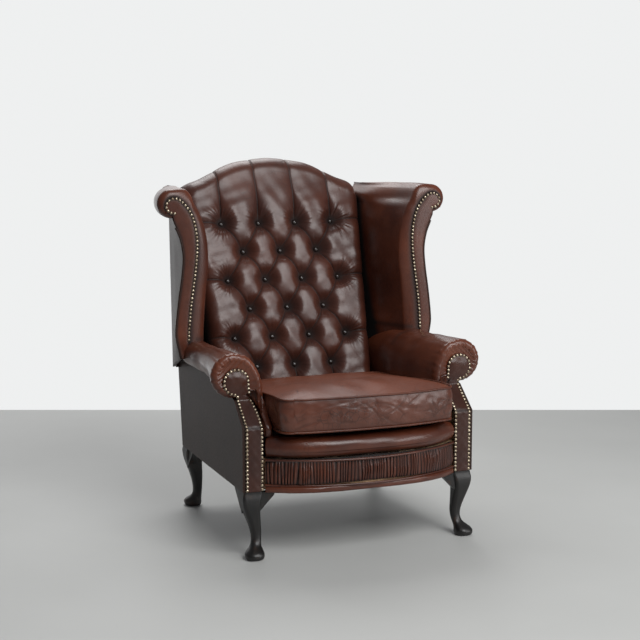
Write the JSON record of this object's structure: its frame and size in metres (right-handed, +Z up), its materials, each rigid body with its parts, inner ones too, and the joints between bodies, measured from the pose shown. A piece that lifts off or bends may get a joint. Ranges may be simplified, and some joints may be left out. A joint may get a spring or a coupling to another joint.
{
  "type": "wingback chair",
  "caption": "Leather wingback armchair with a buttoned camel back, scrolled wings, rolled arms, a loose seat cushion and cabriole legs.",
  "frame": {"origin": "on the floor under the middle of the chair's overall box", "axes": "+Z up, the sitter faces -Y, +X to the right as seen from in front"},
  "size_m": [0.9278, 0.906, 1.07],
  "materials": {
    "leather": "waxed, rubbed",
    "cushion_leather": "worn",
    "dark_wood": "satin",
    "beech": "bare",
    "webbing": "woven",
    "lining": "woven",
    "nail_brass": "antique"
  },
  "bodies": {
    "chair": {"arm_front_left": "leather", "arm_front_right": "leather", "arm_post_left": "beech", "arm_post_right": "beech", "arm_rail_left": "beech", "arm_rail_right": "beech", "back_buttons": "leather", "back_post_left": "beech", "back_post_right": "beech", "back_rail": "beech", "back_stay_rail": "beech", "back_webbing": "webbing", "band_welts": "leather", "corner_blocks": "beech", "crest_rail": "beech", "dust_cover": "lining", "front_rail": "beech", "front_roll": "leather", "gathered_band": "leather", "inside_arm_left": "leather", "inside_arm_right": "leather", "inside_back": "leather", "inside_wing_left": "leather", "inside_wing_right": "leather", "leg_dowels": "beech", "leg_front_left": "dark_wood", "leg_front_right": "dark_wood", "leg_rear_left": "dark_wood", "leg_rear_right": "dark_wood", "lower_band": "leather", "outside_arm_left": "leather", "outside_arm_right": "leather", "outside_back": "leather", "outside_wing_left": "leather", "outside_wing_right": "leather", "seat_deck": "lining", "seat_webbing_cross": "webbing", "seat_webbing_long": "webbing", "side_rail_left": "beech", "side_rail_right": "beech", "wing_front_left": "leather", "wing_front_right": "leather", "wing_post_left": "beech", "wing_post_right": "beech", "wing_rail_left": "beech", "wing_rail_right": "beech"},
    "cushion": {"seat_cushion": "cushion_leather", "cushion_welts": "cushion_leather"}
  },
  "joints": [
    {"name": "cushion_lift", "type": "slide", "parent": "chair", "child": "cushion", "axis": [0, 0, 1], "range_m": [0, 0.7]}
  ]
}
